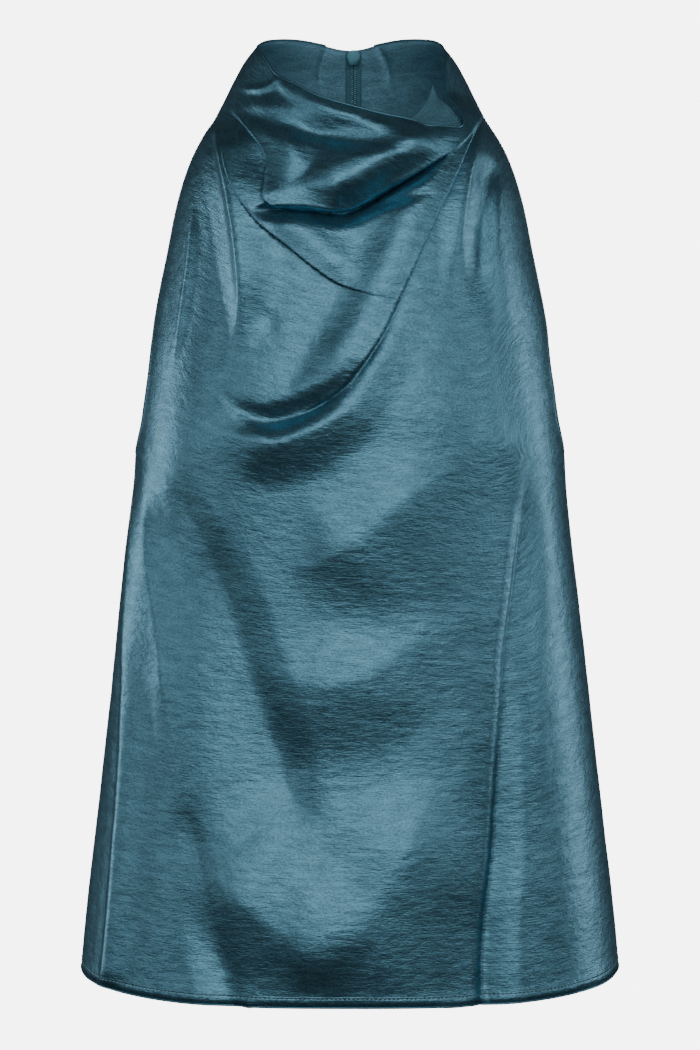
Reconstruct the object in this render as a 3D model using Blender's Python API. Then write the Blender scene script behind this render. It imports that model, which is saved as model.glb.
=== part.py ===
"""A sleeveless halter top in satin, in the hollow form that it has when it is worn.

The front is one piece of cloth from the hem to the neckline, with a draped cowl grown onto it.
Two back pieces are cut away at the armholes and joined by a concealed zip at the centre back.
Lengths in the tables are millimetres.  +Z is up, +Y is the back and +X is the wearer's left.
The origin is on the neck's axis, at the level where the collar leaves the shoulders.
"""

from collections import namedtuple
import math

import bmesh
import bpy
from mathutils import Matrix
import numpy as np

for old in list(bpy.data.objects):
    bpy.data.objects.remove(old)

MM = 0.001

CLOTH = 1.6                 # the wall that stands for satin
SEAM = 0.3                  # gap between pieces that are sewn together
EYE_DISTANCE = 3200         # the folds were measured from here, straight in front
EYE_HEIGHT = -297

CENTRE_BACK = 2.5           # the back seam hangs a little to the wearer's left
SLOT = 1.6                  # half the gap between the backs where the slider's neck passes
SLOT_BOTTOM = 18
SLOT_TAPER = 6              # the height over which the slot closes below the slider
CHAIN_BOTTOM = -118
CHAIN_TOP = 31
CHAIN_WIDTH = 4.2
CHAIN_DEPTH = 1.4
TAPE_WIDTH = 5.4            # of each half
TAPE = 0.7
TAPE_TOP = 40
TAPE_INSET = CLOTH + 0.75    # from the cloth's outer skin: the backs curve away from the flat tapes
TAPE_GAP = 1.1              # half the gap between the tapes at the slider's neck
STOP = (5.0, 2.0, 2.4)      # across, deep and high

SLIDER_TOP = 41
SLIDER_HEIGHT = 11
SLIDER_WIDE = 9.6           # across its shoulders
SLIDER_NARROW = 6.0         # at its lower end
SLIDER_PLATE = 1.2
NECK = (1.4, 4.0)           # across and high
PULL_HEIGHT = 34            # where the pull tab turns
OUTER_PLATE = (3.6, 8.0, 0.9)
LOOP_INNER = 1.3            # radii of the loop that holds the pull tab
LOOP_OUTER = 2.2
LOOP_FOOT = 1.9             # how far the loop's ends reach back into the outer plate
LOOP_PLAY = 0.1             # between the loop and the outer plate
PULL_LENGTH = 24
PULL_WIDTH = 6.0
PULL = 1.2                  # its thickness
PULL_EYE = 1.1              # half the width of its hole
PULL_EYE_TOP = -0.7         # from the pivot
PULL_EYE_BOTTOM = -LOOP_OUTER - 0.6
PULL_SHOULDER = (2.1, 0.8, -5.0)    # half its width at the top, and where that ends above and below
PULL_REST = 0.5             # its distance from the cloth that it lies on

# Rings around the body, from the collar down.  `centre` is how far back the widest place lies,
# and a `roundness` of 2 is an ellipse, while more is squarer.
Section = namedtuple("Section", "height half_width front back centre roundness")
SECTIONS = (
    Section(50, 58, 66, 62, 2, 2.0),
    Section(38, 65, 69, 61, 3, 2.0),
    Section(28, 73, 72, 62, 4, 2.0),
    Section(14, 81, 76, 63, 5, 2.0),
    Section(0, 88, 80, 65, 5, 2.0),
    Section(-14, 95, 84, 67, 4, 2.0),
    Section(-28, 104, 87, 70, 2, 2.05),
    Section(-42, 111, 89, 73, 0, 2.1),
    Section(-70, 120, 93, 80, -4, 2.15),
    Section(-110, 128, 98, 88, -6, 2.25),
    Section(-150, 136, 105, 92, -3, 2.35),
    Section(-190, 143, 113, 92, 0, 2.45),
    Section(-235, 149, 120, 91, 3, 2.55),
    Section(-280, 152, 121, 90, 6, 2.6),
    Section(-350, 160, 124, 91, 8, 2.6),
    Section(-420, 168, 127, 94, 9, 2.6),
    Section(-500, 177, 131, 98, 10, 2.6),
    Section(-560, 184, 135, 101, 10, 2.6),
    Section(-625, 190, 140, 104, 10, 2.6),
)

# The upper and lower edges, as heights at an angle from straight ahead, towards the wearer's left.
Edge = namedtuple("Edge", "angle height")
NECKLINE = (
    Edge(-90, 39), Edge(-60, 30), Edge(-49, 23), Edge(-41, 15), Edge(-31, 8), Edge(-24, 4),
    Edge(-15, -3), Edge(1, -11), Edge(15, -17), Edge(25, -21), Edge(29, -25), Edge(36, -25),
    Edge(45, -19), Edge(49, -4), Edge(56, 15), Edge(68, 29), Edge(90, 39),
)
COLLAR = (Edge(90, 39), Edge(110, 44), Edge(140, 47), Edge(160, 45), Edge(172, 42), Edge(180, 41))
HEM = (
    Edge(-90, -604), Edge(-60, -613), Edge(-30, -620), Edge(0, -622), Edge(30, -620),
    Edge(60, -613), Edge(90, -604), Edge(120, -606), Edge(150, -610), Edge(180, -612),
)

# How far round the body the cloth reaches on each side of an armhole, at each height.
Reach = namedtuple("Reach", "height angle")
FRONT_REACH = (
    Reach(50, 90), Reach(-20, 90), Reach(-110, 89), Reach(-150, 84), Reach(-180, 77),
    Reach(-210, 75), Reach(-235, 78), Reach(-246, 84), Reach(-252, 90), Reach(-640, 90),
)
BACK_REACH = (
    Reach(50, 90), Reach(2, 90), Reach(-8, 96), Reach(-24, 113), Reach(-52, 131),
    Reach(-110, 141), Reach(-160, 135), Reach(-200, 119), Reach(-230, 102), Reach(-246, 93),
    Reach(-252, 90), Reach(-640, 90),
)

# Folds, each along a route of (x, z) points as it is seen from in front or from behind.
# `rise` is how far the crest stands out, or less than 0 for a valley.  `inside` and `outside`
# are the widths of the slopes to the left and right of someone who walks the route, which is
# the upper and lower slope where a cowl fold runs from the right shoulder to the left one.
# `fade_in` and `fade_out` are the shares of the route over which the fold grows and dies away.
# `keen` is the share of a sharp crest in its profile.  `droop` is the share of its rise that the
# lip loses again, over a width of `bend` inside it.
Fold = namedtuple("Fold", "route rise inside outside fade_in fade_out keen droop bend",
                  defaults=(0.0, 0.0, 1))
FRONT_FOLDS = dict(
    collar_roll=Fold(((-87, 0), (-78, -10), (-66, -23), (-57, -38), (-57, -58), (-56, -73), (-42, -80),
                      (-20, -81), (8, -76), (42, -51), (69, -29), (89, 4)),
                     12, 36, 13, 0.2, 0.1, 0, 0.8, 26),
    upper_cowl=Fold(((-88, -5), (-84, -48), (-65, -79), (-40, -101), (-12, -124), (12, -134),
                     (34, -138)), 8, 34, 13, 0.4, 0.35, 0, 0.5, 16),
    lower_cowl=Fold(((-50, -224), (-30, -216), (-6, -199), (14, -172), (29, -143), (63, -63), (79, -23),
                     (89, 0)), 11, 42, 14, 0.4, 0.1, 0, 0.6, 28),
    cowl_lip=Fold(((-104, -190), (-90, -207), (-74, -219), (-54, -224), (-30, -216), (-8, -201), (12, -176)),
                  -6, 15, 10, 0.4, 0.35, 0.2),
    under_roll=Fold(((-66, -79), (-52, -82), (-30, -83), (-5, -86), (11, -79), (29, -67), (52, -50),
                     (70, -33)), -6, 10, 14, 0.2, 0.3),
    under_cowl=Fold(((-94, -227), (-74, -235), (-54, -239), (-34, -233), (-10, -220), (8, -200),
                     (29, -168), (48, -130)), 7, 13, 36, 0.25, 0.45, 0.5),
    side_pleat=Fold(((-94, -14), (-92, -36), (-85, -71), (-79, -112), (-78, -150), (-84, -190)),
                    9, 34, 15, 0.2, 0.4, 0.7),
    neck_pleat=Fold(((90, -12), (87, -41), (81, -70), (74, -105), (66, -150)), 7, 14, 13, 0.25, 0.5, 0.6),
    neck_valley=Fold(((95, -35), (94, -62), (90, -107), (85, -161)), -7, 10, 10, 0.3, 0.5, 0.4),
    chest_pleat=Fold(((100, -40), (103, -80), (110, -134), (116, -172)), 5, 14, 12, 0.25, 0.5, 0.8),
    waist_fold=Fold(((96, -244), (62, -266), (35, -280), (10, -298), (-12, -318), (-42, -322)),
                    9, 80, 40, 0.5, 0.5, 0.4),
    belly_fold=Fold(((-80, -388), (-42, -405), (-14, -410), (15, -402), (42, -380), (70, -345)),
                    9, 70, 62, 0.4, 0.5, 0.4),
    right_hip=Fold(((-130, -259), (-115, -284), (-98, -319), (-85, -352), (-72, -390), (-60, -427),
                    (-49, -458), (-40, -486), (-20, -517)), -12, 21, 75, 0.2, 0.25, 0.5),
    left_hip=Fold(((127, -255), (121, -281), (117, -314), (113, -349), (108, -386), (106, -423),
                   (103, -461), (101, -497), (99, -528), (94, -568), (92, -608), (92, -637)),
                  -9, 36, 17, 0.25, 0.02, 0.5),
    left_fall=Fold(((108, -386), (106, -423), (103, -461), (101, -497), (99, -528), (94, -568),
                    (92, -608), (92, -637)), -6, 30, 36, 0.8, 0.02, 0.4),
    left_low=Fold(((-40, -625), (-15, -603), (14, -574), (34, -536), (49, -501), (62, -465)),
                  8, 90, 50, 0.35, 0.5, 0.4),
    right_low=Fold(((-118, -500), (-102, -540), (-69, -568), (-29, -601), (0, -625)),
                   8, 80, 45, 0.5, 0.3, 0.4),
    right_fall=Fold(((-122, -462), (-115, -497), (-108, -525), (-101, -554), (-93, -588), (-83, -624),
                     (-80, -637)), -6, 16, 30, 0.4, 0.02, 0.4),
    right_ridge=Fold(((-145, -234), (-144, -290), (-140, -334), (-134, -386), (-126, -438),
                      (-118, -478)), 4, 18, 22, 0.3, 0.4, 0.8),
    side_roll=Fold(((-149, -262), (-154, -304), (-158, -364), (-161, -458), (-169, -561),
                    (-175, -626)), 6, 22, 9, 0.3, 0.05, 0.4),
)
BACK_FOLDS = dict(
    inner_left=Fold(((34, -190), (40, -330), (46, -470), (52, -626)), 6, 26, 24, 0.4, 0.05),
    outer_left=Fold(((112, -270), (112, -370), (118, -500), (126, -626)), 7, 26, 22, 0.4, 0.05),
    inner_right=Fold(((-38, -220), (-48, -350), (-56, -480), (-66, -626)), 7, 24, 28, 0.4, 0.05),
    outer_right=Fold(((-104, -260), (-116, -380), (-124, -500), (-134, -626)), 6, 22, 26, 0.4, 0.05),
    blade_left=Fold(((78, -105), (64, -160), (52, -215), (44, -260)), -3, 18, 18, 0.3, 0.5),
    blade_right=Fold(((-78, -110), (-66, -165), (-56, -220), (-50, -270)), -3, 18, 18, 0.3, 0.5),
)
FACING_TOP = (Edge(24, -21), Edge(31, -13), Edge(38, -4), Edge(45.5, 6))
FACING_HIDDEN = 3           # below the neckline
FACING_INSET = 4.6          # from the front's outer skin
FACING = 0.8
FRONT_GRID = (43, 53)       # points across and down
BACK_GRID = (14, 37)        # of each back
ZIP_GRID = 16               # points down the tapes and the chain
CROWDING = 0.45             # how much closer the rows stand at the top of the front
BACK_CROWDING = 0.35
BACK_WIDTH = 130            # along the cloth, from the centre back to the side
SIDE_FADE = 9               # degrees from the side seams over which the folds end

Finish = namedtuple("Finish", "colour roughness metallic")
SATIN = Finish((0.056, 0.133, 0.168), 0.36, 0.0)
TAPE_FINISH = Finish((0.045, 0.110, 0.140), 0.75, 0.0)
COIL_FINISH = Finish((0.050, 0.125, 0.158), 0.40, 0.0)
PAINT = Finish((0.065, 0.160, 0.195), 0.32, 0.6)


# ---- Curves and surfaces --------------------------------------------------------------------

def smooth(share):
    """0 to 1 with level ends, for a share that may lie past either end."""
    share = np.clip(share, 0.0, 1.0)
    return share * share * (3.0 - 2.0 * share)


def read_table(rows, column, at):
    """A column of a table at any place along its first column, on a smooth curve through the rows."""
    rows = sorted(rows)
    places = np.array([row[0] for row in rows], float)
    values = np.array([getattr(row, column) for row in rows], float)
    steps = np.diff(values) / np.diff(places)
    slopes = np.concatenate([steps[:1], (steps[1:] + steps[:-1]) / 2, steps[-1:]])
    slopes[1:-1][steps[1:] * steps[:-1] <= 0] = 0.0     # no overshoot at a turning point
    at = np.clip(at, places[0], places[-1])
    row = np.clip(np.searchsorted(places, at) - 1, 0, len(places) - 2)
    length = places[row + 1] - places[row]
    share = (at - places[row]) / length
    eased = share * share * (3 - 2 * share)
    leaving = share * (1 - share) ** 2 * length * slopes[row]
    arriving = share * share * (share - 1) * length * slopes[row + 1]
    return values[row] + eased * (values[row + 1] - values[row]) + leaving + arriving


def smooth_route(route, per_span=8):
    """Points on a smooth curve through all the points of a route."""
    points = np.array(route, float)
    before = np.vstack([2 * points[0] - points[1], points[:-2]])
    start, end = points[:-1], points[1:]
    after = np.vstack([points[2:], 2 * points[-1] - points[-2]])
    share = np.arange(per_span)[:, None, None] / per_span
    curve = 0.5 * (2 * start + (end - before) * share
                   + (2 * before - 5 * start + 4 * end - after) * share ** 2
                   + (3 * start - before - 3 * end + after) * share ** 3)
    return np.vstack([curve.transpose(1, 0, 2).reshape(-1, 2), points[-1:]])


def fold_height(fold, seen):
    """How far a fold lifts each of the points, which are given as they are seen."""
    route = smooth_route(fold.route)
    starts, steps = route[:-1], np.diff(route, axis=0)
    offsets = seen[:, None] - starts
    along = np.clip((offsets * steps).sum(-1) / (steps ** 2).sum(-1), 0, 1)
    misses = offsets - along[..., None] * steps
    nearest = (misses ** 2).sum(-1).argmin(1)
    pick = np.arange(len(seen)), nearest
    miss, step = misses[pick], steps[nearest]
    left = step[:, 0] * miss[:, 1] - step[:, 1] * miss[:, 0] > 0
    share = (nearest + along[pick]) / len(steps)
    strength = smooth(share / fold.fade_in) * smooth((1 - share) / fold.fade_out)
    width = np.where(left, fold.inside, fold.outside) * (0.5 + 0.5 * strength)
    distance = np.linalg.norm(miss, axis=1)
    closeness = np.clip(1 - distance / width, 0, 1)
    profile = (1 - fold.keen) * smooth(closeness) + fold.keen * closeness ** 2
    lip = fold.droop * np.where(left, smooth(1 - distance / fold.bend), 1)
    return fold.rise * strength * profile * (1 - lip)


def ring(angle, height):
    """A point of the smooth body, and the way out of it, level, at an angle and a height."""
    section = {column: read_table(SECTIONS, column, height) for column in Section._fields[1:]}
    power = 2 / section["roundness"]
    sine, cosine = np.sin(np.radians(angle)), np.cos(np.radians(angle))
    depth = np.where(cosine > 0, section["front"], section["back"])
    x = section["half_width"] * np.sign(sine) * np.abs(sine) ** power
    y = section["centre"] - depth * np.sign(cosine) * np.abs(cosine) ** power
    out = np.stack([sine / section["half_width"], -cosine / depth, 0 * sine], -1)
    return np.stack([x, y, height], -1), out / np.linalg.norm(out, axis=-1, keepdims=True)


def as_seen(points):
    """Where points stand in the upright plane of the side seams, for an eye straight in front."""
    nearer = EYE_DISTANCE / (EYE_DISTANCE + points[..., 1])
    return np.stack([points[..., 0] * nearer,
                     EYE_HEIGHT + (points[..., 2] - EYE_HEIGHT) * nearer], -1)


def folded(angle, height, folds, seen_from_front):
    """Points of the cloth: the smooth body with its folds, which shift what is seen as well."""
    body, out = ring(angle, height)
    side = smooth(np.abs(np.abs(angle) - 90) / SIDE_FADE)
    points = body
    for _ in range(2):
        seen = (as_seen(points) if seen_from_front else points[..., [0, 2]]).reshape(-1, 2)
        lift = sum(fold_height(fold, seen) for fold in folds.values())
        points = body + out * (lift.reshape(height.shape) * side)[..., None]
    return points


def outward(points):
    """The cloth's outward directions at a grid of points whose rows run down."""
    normals = np.cross(np.gradient(points, axis=0), np.gradient(points, axis=1))
    return normals / np.linalg.norm(normals, axis=-1, keepdims=True)


# ---- Objects --------------------------------------------------------------------------------

def finish(name, look):
    material = bpy.data.materials.new(name)
    material.use_nodes = True
    shader = material.node_tree.nodes["Principled BSDF"]
    shader.inputs["Base Color"].default_value = (*look.colour, 1)
    shader.inputs["Roughness"].default_value = look.roughness
    shader.inputs["Metallic"].default_value = look.metallic
    return material


def add_object(name, mesh, material):
    data = bpy.data.meshes.new(name)
    bmesh.ops.recalc_face_normals(mesh, faces=mesh.faces)
    mesh.to_mesh(data)
    mesh.free()
    data.materials.append(material)
    piece = bpy.data.objects.new(name, data)
    bpy.context.scene.collection.objects.link(piece)
    return piece


def wall(name, points, thickness, material, square_to=(None, None)):
    """A closed wall with a grid of points as its outer skin; the rows run down, in millimetres.

    At the first and last columns the wall may be cut square to a seam: `square_to` gives the
    axis across each seam, 0 for X and 1 for Y.
    """
    out = outward(points)
    for column, axis in zip((0, -1), square_to):
        if axis is not None:
            out[:, column, axis] = 0
            out[:, column] /= np.linalg.norm(out[:, column], axis=-1, keepdims=True)
    inner = points - out * thickness
    mesh = bmesh.new()
    skins = [[[mesh.verts.new(point * MM) for point in row] for row in skin] for skin in (points, inner)]
    for skin in skins:
        for upper, lower in zip(skin, skin[1:]):
            for corners in zip(upper, upper[1:], lower[1:], lower):
                mesh.faces.new(corners)
    outlines = [skin[0] + [row[-1] for row in skin[1:-1]] + skin[-1][::-1]
                + [row[0] for row in skin[-2:0:-1]] for skin in skins]
    outlines = [outline + outline[:1] for outline in outlines]
    for corners in zip(outlines[0], outlines[0][1:], outlines[1][1:], outlines[1]):
        mesh.faces.new(corners)
    piece = add_object(name, mesh, material)
    piece.data.shade_smooth()
    return piece


def spread(count, crowded=0):
    """Shares from 0 to 1, closer together near 0 the more they are crowded."""
    share = np.linspace(0, 1, count)
    return share * (1 - crowded * (1 - share))


# ---- The cut pieces -------------------------------------------------------------------------

def front_points(sides, downs):
    """The front at shares of the way across, -1 to 1, and down, 0 to 1."""
    side, down = np.meshgrid(sides, downs)
    top = read_table(NECKLINE, "height", 90 * side)
    bottom = read_table(HEM, "height", 90 * side)
    height = top + (bottom - top) * down
    angle = side * read_table(FRONT_REACH, "angle", height)
    return folded(angle, height, FRONT_FOLDS, seen_from_front=True)


def settle(points, passes=2):
    """A grid of points with its inner points drawn half-way to the middle of their neighbours."""
    for _ in range(passes):
        middle = (points[:-2, 1:-1] + points[2:, 1:-1] + points[1:-1, :-2] + points[1:-1, 2:]) / 4
        points[1:-1, 1:-1] += (middle - points[1:-1, 1:-1]) / 2
    return points


def front(material):
    across, down = FRONT_GRID
    points = settle(front_points(np.linspace(-1, 1, across), spread(down, CROWDING)))
    wall("front", points, CLOTH, material, square_to=(1, 1))


def front_facing(material):
    """The turned edge of the cloth, which stands up inside the neckline at the wearer's left."""
    start, end = FACING_TOP[0].angle, FACING_TOP[-1].angle
    angle, down = np.meshgrid(np.linspace(start, end, 9), np.linspace(0, 1, 6))
    top = read_table(FACING_TOP, "height", angle)
    bottom = read_table(NECKLINE, "height", angle) - FACING_HIDDEN
    height = top + (bottom - top) * down
    points = folded(angle, height, FRONT_FOLDS, seen_from_front=True)
    _, out = ring(angle, height)
    wall("front_facing", points - out * FACING_INSET, FACING, material)


def back_points(angles_from_centre, downs, hand):
    """A back at shares of the way from the centre back to the side, and down; hand is 1 or -1."""
    side, down = np.meshgrid(angles_from_centre, downs)
    top = read_table(COLLAR, "height", 180 - 90 * side)
    bottom = read_table(HEM, "height", 180 - 90 * side)
    height = top + (bottom - top) * down
    angle = 180 - side * (180 - read_table(BACK_REACH, "angle", height))
    points = folded(hand * angle, height, BACK_FOLDS, seen_from_front=False)
    gap = SEAM / 2 + (SLOT - SEAM / 2) * smooth((height[:, 0] - SLOT_BOTTOM) / SLOT_TAPER)
    points[:, 0, 0] = CENTRE_BACK + hand * gap
    return points


def back(name, hand, material):
    across, down = BACK_GRID
    points = back_points(spread(across) * (1 - SEAM / BACK_WIDTH), spread(down, BACK_CROWDING), hand)
    if hand > 0:
        wall(name, points[:, ::-1], CLOTH, material, square_to=(1, 0))
    else:
        wall(name, points, CLOTH, material, square_to=(0, 1))


# ---- The zip --------------------------------------------------------------------------------

def centre_back(height):
    """How far back the cloth's outer skin lies at the centre back."""
    height = np.asarray(height, float)
    return ring(np.full_like(height, 180.0), height)[0][..., 1]


def strip(name, left, right, inset, thickness, heights, material):
    """An upright wall inside the centre back, from `left` to `right` of it at each height."""
    across = np.linspace(left, right, 3, axis=1)
    back_to = np.broadcast_to((centre_back(heights) - inset)[:, None], across.shape)
    up = np.broadcast_to(heights[:, None], across.shape)
    wall(name, np.stack([CENTRE_BACK + across, back_to, up], -1), thickness, material)


def tape(name, hand, material):
    heights = np.linspace(TAPE_TOP, CHAIN_BOTTOM - STOP[2] - 1, ZIP_GRID)
    near = SEAM / 2 + (TAPE_GAP - SEAM / 2) * smooth((heights - SLOT_BOTTOM) / SLOT_TAPER)
    far = np.full_like(near, TAPE_WIDTH)
    left, right = (far, near) if hand > 0 else (-near, -far)
    strip(name, left, right, TAPE_INSET, TAPE, heights, material)


def chain(material):
    heights = np.linspace(CHAIN_TOP, CHAIN_BOTTOM, ZIP_GRID)
    half = np.full_like(heights, CHAIN_WIDTH / 2)
    strip("zip_chain", half, -half, TAPE_INSET + TAPE + SEAM, CHAIN_DEPTH, heights, material)


def prism(outline, thickness, place):
    """A bmesh of an outline of (x, z) points, in millimetres, thickened towards -Y."""
    mesh = bmesh.new()
    face = mesh.faces.new([mesh.verts.new((x, 0, z)) for x, z in outline])
    grown = bmesh.ops.extrude_face_region(mesh, geom=[face])["geom"]
    moved = [item for item in grown if isinstance(item, bmesh.types.BMVert)]
    bmesh.ops.translate(mesh, verts=moved, vec=(0, -thickness, 0))
    bmesh.ops.scale(mesh, vec=(MM, MM, MM), verts=mesh.verts)
    bmesh.ops.translate(mesh, verts=mesh.verts, vec=[value * MM for value in place])
    return mesh


def box_outline(width, top, bottom):
    return [(-width / 2, top), (width / 2, top), (width / 2, bottom), (-width / 2, bottom)]


def arc(radius, start, end, count, centre=(0, 0)):
    """Points on a round stretch; angles in degrees, counted from +X towards +Z."""
    turns = np.radians(np.linspace(start, end, count))
    return [(centre[0] + radius * math.cos(turn), centre[1] + radius * math.sin(turn)) for turn in turns]


def united(name, meshes, material):
    """One piece from overlapping shapes: each later one is a hidden guide joined to the first."""
    piece = add_object(name, meshes[0], material)
    for number, mesh in enumerate(meshes[1:]):
        guide = add_object(f"{name}_guide_{number}", mesh, material)
        guide.hide_render = True
        guide.display_type = "WIRE"
        join = piece.modifiers.new("Join", "BOOLEAN")
        join.operation = "UNION"
        join.object = guide
    return piece


def stop(material):
    width, depth, height = STOP
    top = CHAIN_BOTTOM - SEAM
    face = float(centre_back(top)) - TAPE_INSET - TAPE - SEAM
    add_object("zip_stop", prism(box_outline(width, top, top - height), depth, (CENTRE_BACK, face, 0)),
               material)


def slider(material):
    """A plate inside the back, a neck through the slot and a plate outside with a small loop."""
    skin_inside = float(centre_back(SLIDER_TOP))
    skin_outside = float(centre_back(PULL_HEIGHT - OUTER_PLATE[1] / 2))
    shoulder = SLIDER_TOP - SLIDER_WIDE / 2
    bottom = SLIDER_TOP - SLIDER_HEIGHT
    shield = arc(SLIDER_WIDE / 2, 180, 0, 13, (0, shoulder)) + [
        (SLIDER_NARROW / 2, bottom + 1), (SLIDER_NARROW / 2 - 1, bottom),
        (1 - SLIDER_NARROW / 2, bottom), (-SLIDER_NARROW / 2, bottom + 1)]
    inside = TAPE_INSET + TAPE + CHAIN_DEPTH + 2 * SEAM
    plate = prism(shield, SLIDER_PLATE, (CENTRE_BACK, skin_inside - inside, 0))
    width, height = NECK
    neck = prism(box_outline(width, PULL_HEIGHT + height / 2, PULL_HEIGHT - height / 2),
                 skin_outside - skin_inside + inside + SLIDER_PLATE / 2 + SEAM + OUTER_PLATE[2] / 2,
                 (CENTRE_BACK, skin_outside + SEAM + OUTER_PLATE[2] / 2, 0))
    width, height, thickness = OUTER_PLATE
    outer = prism(box_outline(width, PULL_HEIGHT + height / 2, PULL_HEIGHT - height / 2), thickness,
                  (CENTRE_BACK, skin_outside + SEAM + thickness, 0))
    half_ring = arc(LOOP_OUTER, -90, 90, 13) + [(-LOOP_FOOT, LOOP_OUTER), (-LOOP_FOOT, LOOP_INNER)]
    half_ring += arc(LOOP_INNER, 90, -90, 13) + [(-LOOP_FOOT, -LOOP_INNER), (-LOOP_FOOT, -LOOP_OUTER)]
    loop = prism(half_ring, NECK[0], (0, 0, 0))
    bmesh.ops.translate(loop, verts=loop.verts, vec=(0, NECK[0] / 2 * MM, 0))
    bmesh.ops.rotate(loop, verts=loop.verts, matrix=Matrix.Rotation(math.pi / 2, 3, "Z"))
    bmesh.ops.translate(loop, verts=loop.verts, vec=[value * MM for value in pull_pivot()])
    return united("zip_slider", [plate, neck, outer, loop], material)


def pull_pivot():
    skin = float(centre_back(PULL_HEIGHT - OUTER_PLATE[1] / 2))
    return CENTRE_BACK, skin + SEAM + OUTER_PLATE[2] + LOOP_INNER + LOOP_PLAY, PULL_HEIGHT


def pull(material):
    """A flat drop that hangs in the loop by the hole at its upper end and leans on the cloth."""
    half = PULL_WIDTH / 2
    drop_centre = (0, half - PULL_LENGTH)
    shoulder, above, below = PULL_SHOULDER
    outline = [(shoulder, above), (shoulder, below)] + arc(half, 10, -190, 15, drop_centre)
    outline += [(-shoulder, below), (-shoulder, above)]
    hole = box_outline(2 * PULL_EYE, PULL_EYE_TOP, PULL_EYE_BOTTOM)
    body = prism(outline, PULL, (0, PULL / 2, 0))
    cutter = prism(hole, 3 * PULL, (0, 1.5 * PULL, 0))
    pivot = pull_pivot()
    end = PULL_HEIGHT - PULL_LENGTH
    lean = math.atan2(float(centre_back(end)) + PULL_REST + PULL / 2 - pivot[1], PULL_LENGTH)
    piece = add_object("zip_pull", body, material)
    guide = add_object("zip_pull_hole", cutter, material)
    guide.hide_render = True
    guide.display_type = "WIRE"
    cut = piece.modifiers.new("Eye", "BOOLEAN")
    cut.operation = "DIFFERENCE"
    cut.object = guide
    for item in (piece, guide):
        item.location = [value * MM for value in pivot]
        item.rotation_euler = (lean, 0, 0)
    return piece


# ---- The garment ----------------------------------------------------------------------------

satin = finish("satin", SATIN)
tape_cloth = finish("tape", TAPE_FINISH)
coil = finish("coil", COIL_FINISH)
paint = finish("paint", PAINT)
front(satin)
front_facing(satin)
back("back_left", 1, satin)
back("back_right", -1, satin)
tape("zip_tape_left", 1, tape_cloth)
tape("zip_tape_right", -1, tape_cloth)
chain(coil)
stop(paint)
slider(paint)
pull(paint)
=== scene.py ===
# %% [markdown]
# # A halter top in crinkled satin
# The solids in the frame have the garment's true size and its largest folds.  This lesson gives
# them cloth: thin shells on the same form, with the sharp creases, seams, stitches and the zip.
# The frame is loaded first, because every size below is read from it or fits on it.

# %% Load the frame
from collections import namedtuple
from functools import partial
import math

import bmesh
import bpy
from mathutils import Matrix, Vector, noise
import numpy as np


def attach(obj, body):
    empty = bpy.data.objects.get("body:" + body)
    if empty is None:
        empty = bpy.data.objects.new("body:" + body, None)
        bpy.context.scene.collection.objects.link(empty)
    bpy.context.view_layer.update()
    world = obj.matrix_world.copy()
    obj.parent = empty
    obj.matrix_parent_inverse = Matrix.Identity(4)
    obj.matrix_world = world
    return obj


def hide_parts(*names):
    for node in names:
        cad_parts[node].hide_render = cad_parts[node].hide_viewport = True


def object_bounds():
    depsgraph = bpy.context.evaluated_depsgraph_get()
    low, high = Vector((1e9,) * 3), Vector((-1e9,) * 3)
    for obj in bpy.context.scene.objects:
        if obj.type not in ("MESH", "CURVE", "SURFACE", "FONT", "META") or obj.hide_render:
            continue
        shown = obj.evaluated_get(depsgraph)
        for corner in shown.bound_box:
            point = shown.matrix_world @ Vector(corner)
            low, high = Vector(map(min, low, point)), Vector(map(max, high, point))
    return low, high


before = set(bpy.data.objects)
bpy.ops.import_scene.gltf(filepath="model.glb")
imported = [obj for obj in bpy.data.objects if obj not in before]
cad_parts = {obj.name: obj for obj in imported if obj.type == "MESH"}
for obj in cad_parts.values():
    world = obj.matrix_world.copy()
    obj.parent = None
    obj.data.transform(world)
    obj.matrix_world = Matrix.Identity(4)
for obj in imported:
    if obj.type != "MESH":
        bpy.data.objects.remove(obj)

MM = 0.001
MERGE = 1e-6                        # metres within which two vertices are one
solid_box = [[float(value) for value in corner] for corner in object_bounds()]
print("solids reach from", solid_box[0], "to", solid_box[1])

# %% [markdown]
# ## The camera
# The photo was taken straight from the front with a long lens, level with the middle of the
# garment.  The lens is worked out from the height that the picture shows at the side seams.

# %% Camera
EYE_DISTANCE = 3.2
EYE_HEIGHT = -0.2975
PICTURE_HEIGHT = 0.735              # metres of the plane of the side seams that the picture shows
camera_data = bpy.data.cameras.new("camera")
camera_data.sensor_fit = "VERTICAL"
camera_data.sensor_height = 36
camera_data.lens = camera_data.sensor_height * EYE_DISTANCE / PICTURE_HEIGHT
camera = bpy.data.objects.new("camera", camera_data)
camera.location = (0, -EYE_DISTANCE, EYE_HEIGHT)
camera.rotation_euler = (math.radians(90), 0, 0)
bpy.context.scene.collection.objects.link(camera)
bpy.context.scene.camera = camera
print("lens:", round(camera_data.lens, 1), "mm")

# %% [markdown]
# ## The studio
# Satin shows its folds by what it mirrors, so the light matters as much as the cloth.  One broad
# soft panel stands above and in front, and the light from below is weak: slopes that face up
# shine, and slopes that face down go dark, as in the photo.  Small panels light the flanks, and
# one stands low behind.  A single strong lamp was not used, because its mirror image would be a
# hard spot.  The pale background is the world itself, which the camera sees much brighter than
# the cloth does.

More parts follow.
